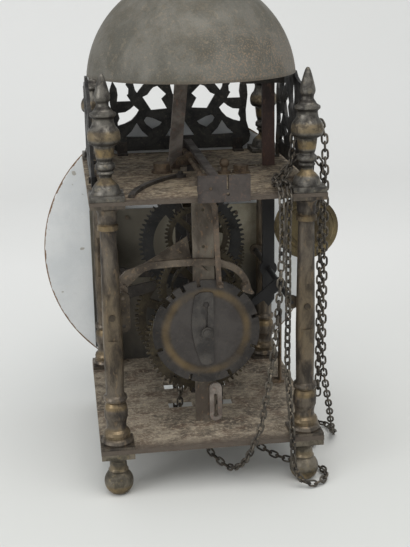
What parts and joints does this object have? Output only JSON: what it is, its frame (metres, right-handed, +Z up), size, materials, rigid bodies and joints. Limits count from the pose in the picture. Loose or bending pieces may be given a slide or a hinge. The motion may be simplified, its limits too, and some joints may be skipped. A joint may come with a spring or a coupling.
{
  "type": "lantern clock",
  "caption": "Weight-driven lantern clock: turned pillars between iron plates, domed bell on a strap, pierced frets, white round dial, open going and striking trains and loose chain.",
  "frame": {"origin": "floor under the middle of the bounding box, chains left out", "axes": "+Z up, -Y the way the dial faces, +X to the left of someone who faces the open back"},
  "size_m": [0.22, 0.1963, 0.351],
  "materials": {
    "plate_iron": "dull ochre-brown patina with darker blotches",
    "pillar_brass": "brown-olive tarnish, golden where worn",
    "foot_brass": "brown-olive tarnish",
    "finial_brass": "tarnished, golden on the rings",
    "fret_brass": "nearly black tarnish",
    "dark_iron": "forged iron, dark with rust",
    "front_metal": "cream paint, stained brown",
    "dial_metal": "bluish white paint, chipped, rust at the edge",
    "hand_metal": "blackened",
    "wheel_brass": "brown tarnish",
    "rusty_iron": "forged iron, rusty brown-grey",
    "grey_iron": "forged iron, grey with brown stains",
    "count_brass": "grey-brown tarnish with a golden ring of wear",
    "hammer_iron": "forged iron, reddish brown",
    "bell_bronze": "dull grey-bronze",
    "chain_iron": "dark links, pale where rubbed",
    "disc_brass": "turned, dull gold"
  },
  "bodies": {
    "frame": {"base_plate": "plate_iron", "top_plate": "plate_iron", "pillar_front_left": "pillar_brass", "pillar_front_right": "pillar_brass", "pillar_back_left": "pillar_brass", "pillar_back_right": "pillar_brass", "foot_front_left": "foot_brass", "foot_front_right": "foot_brass", "foot_back_left": "foot_brass", "foot_back_right": "foot_brass", "finial_front_left": "finial_brass", "finial_front_right": "finial_brass", "finial_back_left": "finial_brass", "finial_back_right": "finial_brass", "front_fret": "fret_brass", "left_fret": "fret_brass", "right_fret": "fret_brass", "fret_screws": "dark_iron", "front_plate": "front_metal", "dial": "dial_metal", "front_bar": "dark_iron", "middle_bar": "dark_iron", "back_bar": "rusty_iron", "bar_wedges": "rusty_iron", "second_wheel_cock": "dark_iron", "back_cock": "rusty_iron", "count_wheel_stud": "grey_iron", "count_wheel_spring": "grey_iron", "arbor_lugs": "rusty_iron", "hammer_spring": "dark_iron", "bell": "bell_bronze", "bell_strap": "rusty_iron", "nuts": "dark_iron", "stop_finger": "dark_iron", "bar_hasp": "grey_iron", "strike_chain": "chain_iron", "strike_chain_end": "chain_iron", "going_chain": "chain_iron", "going_chain_end": "chain_iron", "weight_hook": "chain_iron"},
    "going_great": {"going_great_wheel": "wheel_brass", "going_pulley": "wheel_brass"},
    "second": {"second_wheel": "wheel_brass"},
    "escape": {"escape_wheel": "dark_iron"},
    "hour": {"hour_wheel": "wheel_brass", "hour_hand": "hand_metal"},
    "pallets": {"anchor": "dark_iron", "crutch": "grey_iron"},
    "strike_great": {"strike_great_wheel": "wheel_brass", "strike_pulley": "wheel_brass"},
    "hoop": {"hoop_wheel": "wheel_brass"},
    "warning": {"warning_wheel": "wheel_brass"},
    "fly_vane": {"fly": "wheel_brass"},
    "count": {"count_wheel": "count_brass"},
    "detent": {"count_detent": "rusty_iron", "locking_blade": "rusty_iron"},
    "lifter": {"lifting_lever": "dark_iron"},
    "hammer": {"hammer_stem": "hammer_iron", "hammer_head": "dark_iron"},
    "hanging_pulley": {"weight_pulley": "disc_brass"}
  },
  "joints": [
    {"name": "going_great_spin", "type": "hinge", "parent": "frame", "child": "going_great", "pos_m": [0, -0.02555, 0.089], "axis": [0, -1, 0], "continuous": true},
    {"name": "second_spin", "type": "hinge", "parent": "frame", "child": "second", "pos_m": [-0.01927, -0.03555, 0.13241], "axis": [0, -1, 0], "continuous": true},
    {"name": "escape_spin", "type": "hinge", "parent": "frame", "child": "escape", "pos_m": [0, -0.01355, 0.151], "axis": [0, -1, 0], "continuous": true},
    {"name": "hour_hand_spin", "type": "hinge", "parent": "frame", "child": "hour", "pos_m": [0, -0.08555, 0.128], "axis": [0, -1, 0], "continuous": true},
    {"name": "pallet_swing", "type": "hinge", "parent": "frame", "child": "pallets", "pos_m": [0, 0.02445, 0.2135], "axis": [0, -1, 0], "range_deg": [-2, 2]},
    {"name": "strike_great_spin", "type": "hinge", "parent": "frame", "child": "strike_great", "pos_m": [0, 0.02445, 0.089], "axis": [0, -1, 0], "continuous": true},
    {"name": "hoop_spin", "type": "hinge", "parent": "frame", "child": "hoop", "pos_m": [0, 0.02445, 0.1319], "axis": [0, -1, 0], "continuous": true},
    {"name": "warning_spin", "type": "hinge", "parent": "frame", "child": "warning", "pos_m": [0, 0.02445, 0.1649], "axis": [0, -1, 0], "continuous": true},
    {"name": "fly_spin", "type": "hinge", "parent": "frame", "child": "fly_vane", "pos_m": [0, 0.02445, 0.19055], "axis": [0, -1, 0], "continuous": true},
    {"name": "count_wheel_spin", "type": "hinge", "parent": "frame", "child": "count", "pos_m": [0, 0.05945, 0.107], "axis": [0, -1, 0], "continuous": true},
    {"name": "detent_lift", "type": "hinge", "parent": "frame", "child": "detent", "pos_m": [0.057, 0.00445, 0.138], "axis": [0, -1, 0], "range_deg": [-4, 0]},
    {"name": "lifting_lever_lift", "type": "hinge", "parent": "frame", "child": "lifter", "pos_m": [0.057, 0.00445, 0.119], "axis": [0, -1, 0], "range_deg": [-6, 0]},
    {"name": "hammer_swing", "type": "hinge", "parent": "frame", "child": "hammer", "pos_m": [-0.057, 0.00445, 0.1285], "axis": [0, 1, 0], "range_deg": [-1, 6], "stiffness_Nm_per_rad": 0.15},
    {"name": "weight_pulley_spin", "type": "hinge", "parent": "frame", "child": "hanging_pulley", "pos_m": [-0.075, 0.03545, 0.171], "axis": [0, -1, 0], "continuous": true}
  ],
  "couplings": [
    {"joint": "second_spin", "follows": "going_great_spin", "ratio": -8.5},
    {"joint": "escape_spin", "follows": "going_great_spin", "ratio": 68},
    {"joint": "hour_hand_spin", "follows": "going_great_spin", "ratio": -0.083333},
    {"joint": "strike_great_spin", "follows": "hoop_spin", "ratio": -0.1},
    {"joint": "warning_spin", "follows": "hoop_spin", "ratio": -10},
    {"joint": "fly_spin", "follows": "hoop_spin", "ratio": 80},
    {"joint": "count_wheel_spin", "follows": "hoop_spin", "ratio": 0.012821}
  ]
}
